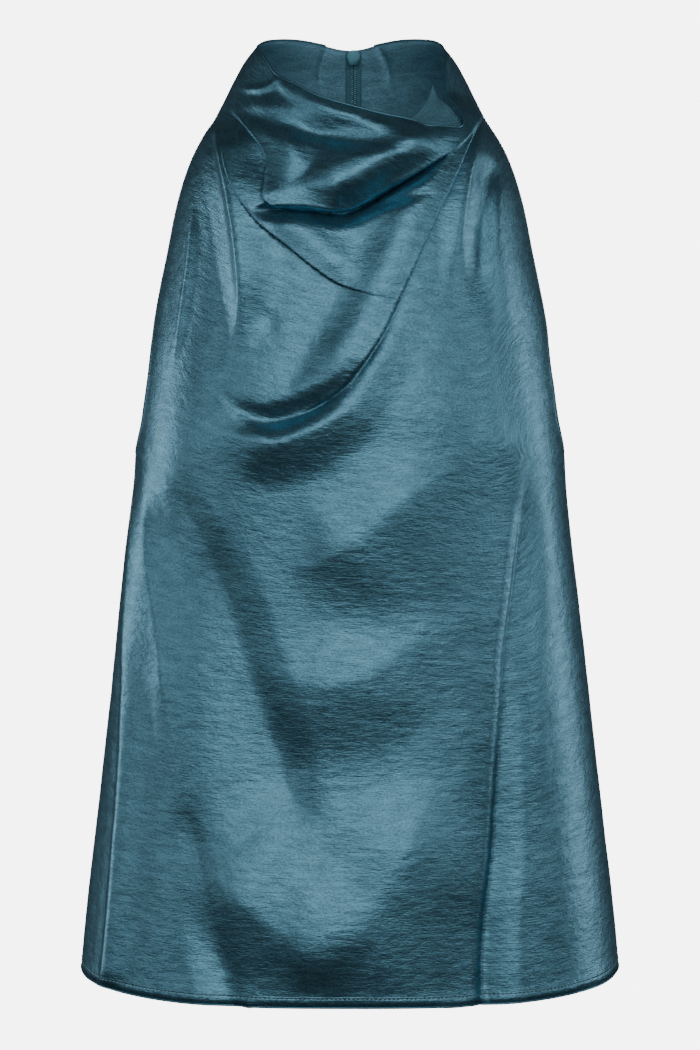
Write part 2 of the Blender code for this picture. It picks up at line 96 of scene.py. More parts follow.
# %% World
SEEN_STRENGTH, FELT_STRENGTH = 6.2, 0.35     # of what the camera sees, and of what lights the cloth
FELT_STOPS = (                      # shares of the way from straight down to straight up
    (0.36, (0.04, 0.04, 0.045, 1)),
    (0.72, (0.09, 0.09, 0.095, 1)),
)
world = bpy.data.worlds.new("studio")
bpy.context.scene.world = world
world.use_nodes = True
tree = world.node_tree
tree.nodes.clear()
place = tree.nodes.new("ShaderNodeTexCoord")
split = tree.nodes.new("ShaderNodeSeparateXYZ")
ramp = tree.nodes.new("ShaderNodeValToRGB")
for element, (position, colour) in zip(ramp.color_ramp.elements, FELT_STOPS):
    element.position = position
    element.color = colour
to_share = tree.nodes.new("ShaderNodeMapRange")
to_share.inputs["From Min"].default_value = -1
to_share.inputs["From Max"].default_value = 1
seen = tree.nodes.new("ShaderNodeBackground")
seen.inputs["Color"].default_value = (1, 1, 1, 1)
seen.inputs["Strength"].default_value = SEEN_STRENGTH
felt = tree.nodes.new("ShaderNodeBackground")
felt.inputs["Strength"].default_value = FELT_STRENGTH
rays = tree.nodes.new("ShaderNodeLightPath")
either = tree.nodes.new("ShaderNodeMixShader")
output = tree.nodes.new("ShaderNodeOutputWorld")
tree.links.new(place.outputs["Generated"], split.inputs[0])
tree.links.new(split.outputs["Z"], to_share.inputs["Value"])
tree.links.new(to_share.outputs[0], ramp.inputs[0])
tree.links.new(ramp.outputs[0], felt.inputs["Color"])
tree.links.new(rays.outputs["Is Camera Ray"], either.inputs[0])
tree.links.new(felt.outputs[0], either.inputs[1])
tree.links.new(seen.outputs[0], either.inputs[2])
tree.links.new(either.outputs[0], output.inputs[0])
print("world:", len(tree.nodes), "nodes")

# %% Floor
FLOOR_DROP = 0.30                   # metres from the hem to the floor
FLOOR_RADIUS = 1.3
floor_mesh = bmesh.new()
bmesh.ops.create_circle(floor_mesh, cap_ends=True, segments=64, radius=FLOOR_RADIUS)
bmesh.ops.translate(floor_mesh, verts=floor_mesh.verts, vec=(0, 0, solid_box[0][2] - FLOOR_DROP))
floor_data = bpy.data.meshes.new("floor")
floor_mesh.to_mesh(floor_data)
floor_mesh.free()
floor = bpy.data.objects.new("floor", floor_data)
bpy.context.scene.collection.objects.link(floor)
floor.visible_glossy = False        # the cloth would mirror it from below
print("floor at", round(solid_box[0][2] - FLOOR_DROP, 3), "m")

# %% Lights
Panel = namedtuple("Panel", "name place width height watts spread")
LIGHTS = (                          # metres, watts and degrees
    Panel("front", (0, -2.2, 0.70), 2.7, 2.2, 15.5, 130),
    Panel("front_left", (1.9, -1.3, 0.25), 1.2, 0.8, 2.8, 130),
    Panel("front_right", (-1.9, -1.3, 0.05), 1.2, 1.2, 2.5, 130),
    Panel("side_left", (2.1, 0.50, 0.0), 1.0, 1.4, 4.6, 130),
    Panel("side_right", (-2.1, 0.50, -0.1), 1.0, 1.3, 5.0, 130),
    Panel("back", (0, 2.2, -0.30), 1.0, 1.2, 7, 120),
)
MIDDLE = Vector((0, 0, -0.28))      # what the panels face
for panel in LIGHTS:
    light = bpy.data.lights.new(panel.name, "AREA")
    light.shape = "RECTANGLE"
    light.size, light.size_y = panel.width, panel.height
    light.energy = panel.watts
    light.spread = math.radians(panel.spread)
    lamp = bpy.data.objects.new(panel.name, light)
    lamp.location = panel.place
    lamp.rotation_euler = (MIDDLE - Vector(panel.place)).to_track_quat("-Z", "Y").to_euler()
    bpy.context.scene.collection.objects.link(lamp)
print(len(LIGHTS), "soft panels")

# %% [markdown]
# ## Shader maths that reads as Python
# A material is a tree of nodes.  Wrapping a node's output in a small class lets `1 - mask` or
# `grain * 0.4` add the Math nodes, so a finish can be read as a formula.

# %% Signal
class Signal:
    """One output of a node."""

    def __init__(self, finish, socket):
        self.finish, self.socket = finish, socket

    def maths(self, operation, *values):
        return self.finish.add("ShaderNodeMath", {"operation": operation}, dict(enumerate(values)))

    def __add__(self, other):
        return self.maths("ADD", self, other)

    def __sub__(self, other):
        return self.maths("SUBTRACT", self, other)

    def __rsub__(self, other):
        return self.maths("SUBTRACT", other, self)

    def __mul__(self, other):
        return self.maths("MULTIPLY", self, other)

    def __abs__(self):
        return self.maths("ABSOLUTE", self)

    __radd__ = __add__
    __rmul__ = __mul__


print("signals can be added, subtracted and multiplied")

# %% [markdown]
# Every finish of this garment is one Principled shader, so a second class holds the material and
# has one method that adds any other node.

# %% Finish
class Finish:
    """A material with a Principled shader, and one way to add any other node."""

    def __init__(self, name, colour, roughness, metallic=0.0):
        self.material = bpy.data.materials.new(name)
        self.material.use_nodes = True
        self.tree = self.material.node_tree
        self.shader = self.tree.nodes["Principled BSDF"]
        self.shader.inputs["Base Color"].default_value = (*colour, 1)
        self.shader.inputs["Roughness"].default_value = roughness
        self.shader.inputs["Metallic"].default_value = metallic

    def add(self, kind, settings=None, values=None, output=0):
        node = self.tree.nodes.new(kind)
        for setting, value in (settings or {}).items():
            setattr(node, setting, value)
        for socket, value in (values or {}).items():
            self.feed(node.inputs[socket], value)
        return Signal(self, node.outputs[output])

    def feed(self, socket, value):
        if isinstance(value, Signal):
            self.tree.links.new(value.socket, socket)
        else:
            socket.default_value = value

    def surface(self, **signals):
        for socket, value in signals.items():
            self.feed(self.shader.inputs[socket.replace("_", " ")], value)

    def mix(self, share, first, second):
        """A colour between two colours."""
        return self.add("ShaderNodeMix", {"data_type": "RGBA"}, {0: share, 6: first, 7: second}, 2)


print("a finish starts from one Principled shader")

# %% [markdown]
# ## The body that the cloth follows
# The garment is hollow and keeps its worn form, so the cloth follows level rings that are wider
# than they are deep.  It could be draped by a simulation, but no simulation would fall into the
# photo's own folds.  A table gives the rings, which the solids have too.

# %% Rings
Section = namedtuple("Section", "height half_width front back centre roundness")
SECTIONS = (
    Section(50, 58, 66, 62, 2, 2.0),
    Section(38, 65, 69, 61, 3, 2.0),
    Section(28, 73, 72, 62, 4, 2.0),
    Section(14, 81, 76, 63, 5, 2.0),
    Section(0, 88, 80, 65, 5, 2.0),
    Section(-14, 95, 84, 67, 4, 2.0),
    Section(-28, 104, 87, 70, 2, 2.05),
    Section(-42, 111, 89, 73, 0, 2.1),
    Section(-70, 120, 93, 80, -4, 2.15),
    Section(-110, 128, 98, 88, -6, 2.25),
    Section(-150, 136, 105, 92, -3, 2.35),
    Section(-190, 143, 113, 92, 0, 2.45),
    Section(-235, 149, 120, 91, 3, 2.55),
    Section(-280, 152, 121, 90, 6, 2.6),
    Section(-350, 160, 124, 91, 8, 2.6),
    Section(-420, 168, 127, 94, 9, 2.6),
    Section(-500, 177, 131, 98, 10, 2.6),
    Section(-560, 184, 135, 101, 10, 2.6),
    Section(-625, 190, 140, 104, 10, 2.6),
)
print("rings from", SECTIONS[-1].height, "to", SECTIONS[0].height, "mm")

# %% [markdown]
# A smooth curve joins the rows of a table, so that a few rows are enough.  At a row where the
# values turn back the curve is level, and it never swings past a row.

# %% Reading a table
def smooth(share):
    """0 to 1 with level ends, for a share that may lie past either end."""
    share = np.clip(share, 0.0, 1.0)
    return share * share * (3.0 - 2.0 * share)


def read_table(rows, column, at):
    """A column of a table at any place along its first column, on a smooth curve through the rows."""
    rows = sorted(rows)
    places = np.array([row[0] for row in rows], float)
    values = np.array([getattr(row, column) for row in rows], float)
    steps = np.diff(values) / np.diff(places)
    slopes = np.concatenate([steps[:1], (steps[1:] + steps[:-1]) / 2, steps[-1:]])
    slopes[1:-1][steps[1:] * steps[:-1] <= 0] = 0.0
    at = np.clip(at, places[0], places[-1])
    row = np.clip(np.searchsorted(places, at) - 1, 0, len(places) - 2)
    length = places[row + 1] - places[row]
    share = (at - places[row]) / length
    eased = share * share * (3 - 2 * share)
    leaving = share * (1 - share) ** 2 * length * slopes[row]
    arriving = share * share * (share - 1) * length * slopes[row + 1]
    return values[row] + eased * (values[row + 1] - values[row]) + leaving + arriving


WAIST = -300
waist = {column: float(read_table(SECTIONS, column, WAIST)) for column in ("half_width", "front")}
print("the waist, between two rows:", waist)

# %% A point of a ring
def ring(angle, height):
    """A point of the smooth body, and the way out of it, level, at an angle and a height."""
    section = {column: read_table(SECTIONS, column, height) for column in Section._fields[1:]}
    power = 2 / section["roundness"]
    sine, cosine = np.sin(np.radians(angle)), np.cos(np.radians(angle))
    depth = np.where(cosine > 0, section["front"], section["back"])
    x = section["half_width"] * np.sign(sine) * np.abs(sine) ** power
    y = section["centre"] - depth * np.sign(cosine) * np.abs(cosine) ** power
    out = np.stack([sine / section["half_width"], -cosine / depth, 0 * sine], -1)
    return np.stack([x, y, height], -1), out / np.linalg.norm(out, axis=-1, keepdims=True)


print("middle of the front at the waist:", ring(np.zeros(1), np.full(1, float(WAIST)))[0])

# %% [markdown]
# ## Folds as a table
# A fold is a route on the picture with a crest or a valley along it: how far it rises, how wide
# it is on its inside and its outside, over which shares of its length it fades in and out, and
# how keen its crest is.  Where one layer of the cowl hangs over the next, the slope outside the
# route is short and steep, and `lap` pushes the crest out over the foot of that slope, so the
# edge really overhangs.  With `droop` the cloth has sunk again by that share when it reaches the
# route: it bends over within `bend` millimetres of it, as a roll of cloth does.

# %% Routes
Fold = namedtuple("Fold", "route rise inside outside fade_in fade_out keen lap droop bend",
                  defaults=(0.0, 0, 0.0, 1))


def smooth_route(route, per_span=8):
    """Points on a smooth curve through all the points of a route."""
    points = np.array(route, float)
    before = np.vstack([2 * points[0] - points[1], points[:-2]])
    start, end = points[:-1], points[1:]
    after = np.vstack([points[2:], 2 * points[-1] - points[-2]])
    share = np.arange(per_span)[:, None, None] / per_span
    curve = 0.5 * (2 * start + (end - before) * share
                   + (2 * before - 5 * start + 4 * end - after) * share ** 2
                   + (3 * start - before - 3 * end + after) * share ** 3)
    return np.vstack([curve.transpose(1, 0, 2).reshape(-1, 2), points[-1:]])


print("a route of 3 points has", len(smooth_route([(0, 0), (1, 1), (2, 0)])), "on its curve")

# %% What a fold does
END_WIDTH = 0.5                     # a fold's width where it fades out, as a share of its full one
LAP_REACH = 14                      # mm inside the crest over which its push dies away
FOOT_PUSH, FOOT_WIDTH = 1.5, 0.6    # how the lap's foot goes with it, as shares of lap and outside
RECOIL, RECOIL_WIDTH = 0.5, 1.8     # how the cloth past the foot goes back, as the same shares
OUTER_REACH = 3                     # widths outside past which a fold does nothing


def fold_effect(fold, seen):
    """How far a fold lifts each of the points, and how far it shifts them on the picture."""
    route = smooth_route(fold.route)
    reach = max(fold.inside, OUTER_REACH * fold.outside)
    low, high = route.min(0) - reach, route.max(0) + reach
    near = np.flatnonzero(((seen > low) & (seen < high)).all(1))
    lift, shift = np.zeros(len(seen)), np.zeros_like(seen)
    starts, steps = route[:-1], np.diff(route, axis=0)
    offsets = seen[near, None] - starts
    along = np.clip((offsets * steps).sum(-1) / (steps ** 2).sum(-1), 0, 1)
    misses = offsets - along[..., None] * steps
    nearest = (misses ** 2).sum(-1).argmin(1)
    pick = np.arange(len(near)), nearest
    miss, step = misses[pick], steps[nearest]
    left = step[:, 0] * miss[:, 1] - step[:, 1] * miss[:, 0] > 0
    share = (nearest + along[pick]) / len(steps)
    strength = smooth(share / fold.fade_in) * smooth((1 - share) / fold.fade_out)
    width = np.where(left, fold.inside, fold.outside) * (END_WIDTH + (1 - END_WIDTH) * strength)
    distance = np.linalg.norm(miss, axis=1)
    closeness = np.clip(1 - distance / width, 0, 1)
    lift[near] = fold.rise * strength * (
        (1 - fold.keen) * smooth(closeness) + fold.keen * closeness ** 2)
    lift[near] *= 1 - fold.droop * np.where(left, smooth(1 - distance / fold.bend), 1)
    if fold.lap:
        outward = np.stack([step[:, 1], -step[:, 0]], -1) / np.linalg.norm(step, axis=1)[:, None]
        inner = smooth(1 - distance / LAP_REACH)
        past_foot = smooth(1 - np.abs(distance - fold.outside) / (RECOIL_WIDTH * fold.outside))
        foot = smooth(1 - distance / (fold.outside * FOOT_WIDTH)) * FOOT_PUSH - RECOIL * past_foot
        size = fold.lap * strength * np.where(left, inner, foot)
        shift[near] = outward * size[:, None]
    return lift, shift


trial = Fold(((0, 0), (20, 0), (40, 0)), 5, 10, 10, 0.2, 0.2)
print("on its route a fold of 5 mm lifts by", fold_effect(trial, np.array([[20.0, 0.1]]))[0])

# %% [markdown]
# ## The folds of the front
# Every route is in millimetres on the picture, and the inside of a fold is the side to the left
# of its route's direction.  The roll and the two lips of the cowl overhang what is below them, so
# they come first, in a table of their own.  The soft folds follow, from the neckline to the hem.

# %% Cowl layers
COWL_LAYERS = dict(
    collar_roll=Fold(((-87, 0), (-78, -10), (-66, -23), (-57, -38), (-57, -56), (-56, -69), (-42, -75),
                      (-20, -76), (8, -72), (42, -50), (69, -29), (89, 4)),
                     12, 36, 4.5, 0.2, 0.1, 0, 2, 0.8, 26),
    upper_cowl=Fold(((-88, -5), (-84, -48), (-65, -79), (-40, -101), (-12, -124), (12, -134),
                     (34, -138)), 8, 34, 4.5, 0.4, 0.5, 0, 3, 0.5, 16),
    lower_cowl=Fold(((-50, -224), (-30, -216), (-6, -199), (14, -172), (29, -143), (63, -63), (79, -23),
                     (89, 0)), 14, 42, 5, 0.4, 0.1, 0, 2.5, 0.35, 20),
)
print("layers of the cowl:", list(COWL_LAYERS))

# %% Front folds
DRAPES = dict(
    edge_roll=Fold(((-57, 22), (-48, 12), (-33, 2), (-14, -6), (4, -11), (24, -17), (41, -22)),
                   3.5, 8, 10, 0.3, 0.3, 0.3),
    under_edge=Fold(((-77, -6), (-62, -12), (-35, -20), (-4, -27), (28, -30), (52, -32)),
                    -6, 14, 12, 0.35, 0.4, 0.2),
    roll_arm=Fold(((-58, -18), (-46, -30), (-34, -42), (-24, -48)), 2, 14, 16, 0.5, 0.5, 0.2),
    roll_crest=Fold(((-38, -52), (-24, -49), (-8, -45), (12, -37), (32, -30), (48, -27), (62, -24)),
                    10, 26, 36, 0.35, 0.3, 0.3),
    under_roll=Fold(((-66, -75), (-52, -77), (-30, -78), (-5, -81), (11, -75), (29, -64), (52, -49),
                     (70, -33)), -10, 6, 10, 0.2, 0.3),
    roll_tuck=Fold(((-20, -78), (-5, -80), (11, -74), (29, -63), (52, -48), (70, -32)),
                   -8, 28, 4, 0.3, 0.3),
    roll_crease=Fold(((8, -79), (29, -72), (45, -66), (58, -66)), -4, 5, 8, 0.5, 0.5, 0.5),
    cowl_lip=Fold(((-104, -190), (-90, -207), (-74, -219), (-54, -224), (-30, -216), (-8, -201), (12, -176)),
                  -6, 15, 9, 0.6, 0.35, 0.2),
    under_cowl=Fold(((-94, -227), (-74, -235), (-54, -239), (-34, -233), (-10, -220), (8, -200),
                     (29, -168), (48, -130)), 7, 13, 36, 0.25, 0.45, 0.5),
    side_pleat=Fold(((-94, -14), (-92, -36), (-85, -71), (-79, -112), (-78, -150), (-84, -190)),
                    13, 34, 15, 0.2, 0.4, 0.3),
    side_crease=Fold(((-110, -61), (-113, -107), (-120, -157), (-125, -192)), 3, 8, 10, 0.3, 0.4, 0.7),
    cowl_dent=Fold(((-68, -138), (-58, -154), (-48, -168)), -1.5, 9, 12, 0.5, 0.5, 0.4),
    neck_pleat=Fold(((90, -12), (87, -41), (81, -70), (74, -105), (66, -150)), 6, 19, 18, 0.25, 0.5, 0.2),
    neck_valley=Fold(((95, -35), (94, -62), (90, -107), (85, -161)), -5, 14, 13, 0.3, 0.5),
    chest_pleat=Fold(((100, -40), (103, -80), (110, -134), (116, -172)), 4, 20, 18, 0.25, 0.5, 0.3),
    collar_pleat=Fold(((-83, 10), (-71, 8), (-63, 8), (-57, 10), (-53, 13), (-49, 18)),
                      2.5, 4, 5, 0.3, 0.2, 0.3),
    waist_fold=Fold(((96, -244), (62, -266), (35, -282), (8, -304), (-18, -322), (-46, -332)),
                    9, 84, 54, 0.5, 0.35, 0.4),
    belly_fold=Fold(((-80, -388), (-42, -405), (-14, -410), (15, -402), (42, -380), (70, -345)),
                    6.5, 60, 62, 0.4, 0.5, 0.4),
    right_hip=Fold(((-130, -259), (-115, -284), (-98, -319), (-85, -352), (-72, -390), (-60, -427),
                    (-49, -458), (-40, -486), (-20, -517)), -10, 26, 75, 0.35, 0.2, 0.4),
    left_hip=Fold(((127, -255), (121, -281), (117, -314), (113, -349), (108, -386), (106, -423),
                   (103, -461), (101, -497), (99, -528), (94, -568), (92, -608), (92, -637)),
                  -7, 30, 8, 0.25, 0.02, 0.5),
    left_fall=Fold(((108, -386), (106, -423), (103, -461), (101, -497), (99, -528), (94, -568),
                    (92, -608), (92, -637)), -6, 30, 36, 0.8, 0.02, 0.4),
    left_low=Fold(((-40, -625), (-15, -603), (14, -574), (34, -536), (49, -501), (62, -465)),
                  10, 90, 80, 0.35, 0.4, 0.4),
    right_low=Fold(((-118, -500), (-102, -540), (-69, -568), (-29, -601), (0, -625)),
                   8, 80, 45, 0.5, 0.3, 0.4),
    right_fall=Fold(((-122, -462), (-115, -497), (-108, -525), (-101, -554), (-93, -588), (-83, -624),
                     (-80, -637)), -6, 16, 30, 0.4, 0.02, 0.4),
    right_ridge=Fold(((-145, -234), (-144, -290), (-140, -334), (-134, -386), (-126, -438),
                      (-118, -478)), 4, 18, 22, 0.3, 0.6, 0.6),
    side_roll=Fold(((-149, -262), (-154, -304), (-158, -364), (-161, -458), (-169, -561),
                    (-175, -626)), 6, 22, 9, 0.3, 0.05, 0.4),
)
FRONT_FOLDS = {**COWL_LAYERS, **DRAPES}
print(len(FRONT_FOLDS), "folds in front")

# %% [markdown]
# The photo shows the back only inside the collar, with two creases beside the zip.  The long
# folds of the back are a guess, from how satin falls from the shoulders to a wide hem.

# %% Back folds
BACK_FOLDS = dict(
    neck_crease_left=Fold(((20, 43), (25, 36), (28, 27), (29, 18), (28, 6)), 2.2, 3.5, 5, 0.05, 0.5, 0.6),
    neck_crease_right=Fold(((-17, 43), (-20, 37), (-22, 29), (-22, 18), (-21, 5)), 2.2, 5, 3.5, 0.05, 0.5,
                           0.6),
    inner_left=Fold(((34, -190), (40, -330), (46, -470), (52, -626)), 6, 26, 24, 0.4, 0.05),
    outer_left=Fold(((112, -270), (112, -370), (118, -500), (126, -626)), 7, 26, 22, 0.4, 0.05),
    inner_right=Fold(((-38, -220), (-48, -350), (-56, -480), (-66, -626)), 7, 24, 28, 0.4, 0.05),
    outer_right=Fold(((-104, -260), (-116, -380), (-124, -500), (-134, -626)), 6, 22, 26, 0.4, 0.05),
    blade_left=Fold(((78, -105), (64, -160), (52, -215), (44, -260)), -3, 18, 18, 0.3, 0.5),
    blade_right=Fold(((-78, -110), (-66, -165), (-56, -220), (-50, -270)), -3, 18, 18, 0.3, 0.5),
)
print(len(BACK_FOLDS), "folds behind")

# %% [markdown]
# ## Cloth on the form
# The folds were measured on the picture, where what is nearer looks larger.  So each point of
# the smooth body is first drawn onto the plane of the side seams, along the line of sight, and
# the folds that pass there lift it.  They die away towards the side seams.

# %% As the camera sees it
def as_seen(points):
    """Where points stand on the plane of the side seams, for the camera's eye."""
    nearer = EYE_DISTANCE / MM / (EYE_DISTANCE / MM + points[..., 1])
    eye = EYE_HEIGHT / MM
    return np.stack([points[..., 0] * nearer, eye + (points[..., 2] - eye) * nearer], -1)


print("100 mm nearer, a point 100 mm aside is drawn at", as_seen(np.array([100.0, -100, 0]))[0])

# %% Folded points
SIDE_FADE = 9                       # degrees from the side seams over which folds fade in
Crumple = namedtuple("Crumple", "size depth squash")
CRUMPLES = (                        # millimetres across and deep, and how much flatter than wide
    Crumple(38, 0.5, 1.5),
    Crumple(15, 0.16, 1.8),
)


def crumpled(points):
    """How far the cloth's own unrest lifts each of the points."""
    lift = np.zeros(len(points))
    for crumple in CRUMPLES:
        for index, (x, y, z) in enumerate(points / crumple.size):
            lift[index] += crumple.depth * noise.noise((x, y, z * crumple.squash))
    return lift


def folded(angle, height, folds, seen_from_front):
    """Points of the cloth: the smooth body with its folds."""
    body, out = ring(angle, height)
    side = smooth(np.abs(np.abs(angle) - 90) / SIDE_FADE)
    points = body
    for _ in range(2):                  # the folds move the cloth on the picture too
        seen = (as_seen(points) if seen_from_front else points[..., [0, 2]]).reshape(-1, 2)
        soft = sum(fold_effect(fold, seen)[0] for fold in folds.values() if not fold.lap)
        points = body + out * (soft.reshape(height.shape) * side)[..., None]
    for fold in folds.values():
        if fold.lap:
            lift, shift = fold_effect(fold, seen)
            points = points + out * (lift.reshape(height.shape) * side)[..., None]
            points[..., [0, 2]] += shift.reshape(*height.shape, 2) * side[..., None]
    unrest = crumpled(points.reshape(-1, 3)).reshape(height.shape)
    return points + out * (unrest * side)[..., None]


in_roll = folded(np.zeros((1, 1)), np.full((1, 1), -60.0), FRONT_FOLDS, seen_from_front=True)
print("a point of the collar's roll in the middle of the front:", in_roll[0, 0])

# %% [markdown]
# ## Where each piece of cloth ends
# The neckline, the back collar and the hem are heights round the body.  At the armholes the
# front and the back stop at different angles, and meet again at the side seams.

# %% Edges
Edge = namedtuple("Edge", "angle height")
NECKLINE = (
    Edge(-90, 39), Edge(-60, 30), Edge(-49, 23), Edge(-41, 15), Edge(-31, 8), Edge(-24, 4),
    Edge(-15, -3), Edge(1, -11), Edge(15, -17), Edge(25, -21), Edge(29, -25), Edge(36, -25),
    Edge(45, -19), Edge(49, -4), Edge(56, 15), Edge(68, 29), Edge(90, 39),
)
COLLAR = (Edge(90, 39), Edge(110, 44), Edge(140, 47), Edge(160, 45), Edge(172, 42), Edge(180, 41))
HEM = (
    Edge(-90, -604), Edge(-60, -613), Edge(-30, -620), Edge(0, -622), Edge(30, -620),
    Edge(60, -613), Edge(90, -604), Edge(120, -606), Edge(150, -610), Edge(180, -612),
)
Reach = namedtuple("Reach", "height angle")
FRONT_REACH = (
    Reach(50, 90), Reach(-20, 90), Reach(-110, 89), Reach(-150, 84), Reach(-180, 77),
    Reach(-210, 75), Reach(-235, 78), Reach(-246, 84), Reach(-252, 90), Reach(-640, 90),
)
BACK_REACH = (
    Reach(50, 90), Reach(2, 90), Reach(-8, 96), Reach(-24, 113), Reach(-52, 131),
    Reach(-110, 141), Reach(-160, 135), Reach(-200, 119), Reach(-230, 102), Reach(-246, 93),
    Reach(-252, 90), Reach(-640, 90),
)
print("neckline, collar and hem:", len(NECKLINE), len(COLLAR), len(HEM), "points")

# %% Where the front and the backs lie
CENTRE_BACK = 2.5                   # mm, since the back seam hangs a little to the garment's left
SEAM_GAP = 0.15                     # mm from the centre back to the cloth on each side
SLOT, SLOT_BOTTOM = 1.6, 18         # the wider gap where the slider's neck passes, and its end
SLOT_EASE = 6                       # mm over which it widens
SIDE_GAP = 0.3 / 130                # share of a back's width by which it stops short of its side
AT_SEAM = 1e-6                      # share of a back's width that counts as its centre edge


def front_points(across, down):
    """The front at shares of the way across and down, both 0 to 1."""
    side = 2 * across - 1
    top = read_table(NECKLINE, "height", 90 * side)
    bottom = read_table(HEM, "height", 90 * side)
    height = top + (bottom - top) * down
    angle = side * read_table(FRONT_REACH, "angle", height)
    return folded(angle, height, FRONT_FOLDS, seen_from_front=True)


def back_points(across, down, hand):
    """A back at shares of the way across, as seen from behind, and down; hand 1 is the left one."""
    side = 1 - across if hand > 0 else across
    side = side * (1 - SIDE_GAP)
    top = read_table(COLLAR, "height", 180 - 90 * side)
    bottom = read_table(HEM, "height", 180 - 90 * side)
    height = top + (bottom - top) * down
    angle = 180 - side * (180 - read_table(BACK_REACH, "angle", height))
    points = folded(hand * angle, height, BACK_FOLDS, seen_from_front=False)
    gap = SEAM_GAP + (SLOT - SEAM_GAP) * smooth((height - SLOT_BOTTOM) / SLOT_EASE)
    middle = side < AT_SEAM
    points[middle, 0] = (CENTRE_BACK + hand * gap)[middle]
    return points


left_points, right_points = partial(back_points, hand=1), partial(back_points, hand=-1)
corner = np.zeros((1, 1))
print("the front's first corner:", front_points(corner, corner)[0, 0])

# %% [markdown]
# ## From a flat grid to hung cloth
# Each piece starts as a flat grid, as the cloth lies before it is sewn.  Its points are then
# moved onto the form.  The rows stand closer in the cowl, where the folds are sharp.  The
# lengths along the finished cloth are kept as a UV map, so the weave follows the folds.

# %% Lengths along the cloth
LATTICE = np.linspace(0, 1, 49)     # shares at which the cloth's lengths are measured


def on_lattice(values, across, down):
    """Values between those of a square lattice of shares."""
    last = len(LATTICE) - 1
    column, row = np.clip(across, 0, 1) * last, np.clip(down, 0, 1) * last
    left, top = np.minimum(column.astype(int), last - 1), np.minimum(row.astype(int), last - 1)
    x, y = column - left, row - top
    upper = values[top, left] * (1 - x) + values[top, left + 1] * x
    lower = values[top + 1, left] * (1 - x) + values[top + 1, left + 1] * x
    return upper * (1 - y) + lower * y


def cut_place(place, across, down):
    """Places on the flat cut cloth, from the middle of its top, and distances to hem and sides."""
    points = place(*np.meshgrid(LATTICE, LATTICE)) * MM
    wide = np.cumsum(np.linalg.norm(np.diff(points, axis=1, prepend=points[:, :1]), axis=-1), axis=1)
    tall = np.cumsum(np.linalg.norm(np.diff(points, axis=0, prepend=points[:1]), axis=-1), axis=0)
    tall[:] = tall.mean(1, keepdims=True)
    x, y = on_lattice(wide, across, down), on_lattice(tall, across, down)
    row_width = on_lattice(wide[:, [-1]] + 0 * wide, across, down)
    half_width = on_lattice(wide[:, [len(LATTICE) // 2]] + 0 * wide, across, down)
    return np.stack([x - half_width, -y], -1), tall[-1, 0] - y, np.minimum(x, row_width - x)


drop = -cut_place(front_points, np.array([0.5]), np.array([1.0]))[0][0, 1]
print("the front is", round(drop, 3), "m long along its folds")

# %% [markdown]
# The sharp lips of the cowl need smaller faces than the plain cloth, so only the edges near their
# routes are subdivided.

# %% Grids with finer faces
FINE_REACH, FINE_CUTS = 7, 1        # mm from a route, and cuts in each edge there
STATIONS = 24                       # along each span of a route


def shares(mesh, crowded):
    """How far across and down the cloth each vertex of its flat grid lies."""
    flat = np.array([vertex.co for vertex in mesh.verts])
    share = 0.5 - flat[:, 1]
    return flat[:, 0] + 0.5, share * (1 - crowded * (1 - share))


def refine(mesh, crowded, place, routes):
    """Finer faces along the routes, where the cloth bends sharply."""
    mesh.verts.index_update()
    seen = as_seen(place(*shares(mesh, crowded)))
    close = np.zeros(len(seen), bool)
    for route in routes:
        for station in smooth_route(route, STATIONS):
            close |= ((seen - station) ** 2).sum(-1) < FINE_REACH * FINE_REACH
    edges = [edge for edge in mesh.edges if any(close[vertex.index] for vertex in edge.verts)]
    bmesh.ops.subdivide_edges(mesh, edges=edges, cuts=FINE_CUTS, use_grid_fill=True)


print("faces are finer within", FINE_REACH, "mm of a lip")

# %% [markdown]
# The solids are walls 1.6 mm thick.  Real satin is thinner, so each piece becomes a thin shell:
# its outer skin follows the solid's, and the thickness goes inwards.

# %% Cloth shells
SHELL = 0.9                         # mm
ARMHOLE_TOP, ARMHOLE_BOTTOM = 0, -247   # mm
NOT_TURNED = 1                      # metres, so that no stitching is drawn on such a side


def as_object(name, mesh, *finishes):
    """A smooth piece at the origin, from a finished bmesh."""
    data = bpy.data.meshes.new(name)
    mesh.to_mesh(data)
    mesh.free()
    for finish in finishes:
        data.materials.append(finish.material)
    data.shade_smooth()
    piece = bpy.data.objects.new(name, data)
    bpy.context.scene.collection.objects.link(piece)
    return piece


def cloth(name, columns, rows, crowded, place, fine_routes=(), thickness=SHELL, finishes=None):
    """A thin shell from a flat grid whose points go to place(across, down)."""
    mesh = bmesh.new()
    bmesh.ops.create_grid(mesh, x_segments=columns, y_segments=rows, size=0.5)
    if fine_routes:
        refine(mesh, crowded, place, fine_routes)
    across, down = shares(mesh, crowded)
    cut, to_hem, to_side = cut_place(place, across, down)
    mesh.verts.index_update()
    points = place(across, down)
    at_armhole = (points[:, 2] < ARMHOLE_TOP) & (points[:, 2] > ARMHOLE_BOTTOM)
    edges = np.stack([to_hem, to_side + np.where(at_armhole, 0, NOT_TURNED)], -1)
    for vertex, point in zip(mesh.verts, points):
        vertex.co = point * MM
    for layer_name, values in (("cut", cut), ("edges", edges)):
        layer = mesh.loops.layers.uv.new(layer_name)
        for face in mesh.faces:
            for loop in face.loops:
                loop[layer].uv = values[loop.vert.index]
    piece = as_object(name, mesh, *(finishes or (satin, satin_reverse)))
    shell = piece.modifiers.new("Shell", "SOLIDIFY")
    shell.thickness = thickness * MM
    shell.offset = -1
    shell.material_offset = 0 if finishes else 1
    shell.material_offset_rim = 0
    area = sum(face.area for face in piece.data.polygons)
    print(f"{name}: {len(piece.data.polygons)} faces a side, {area:.4f} square metres")
    return piece, area


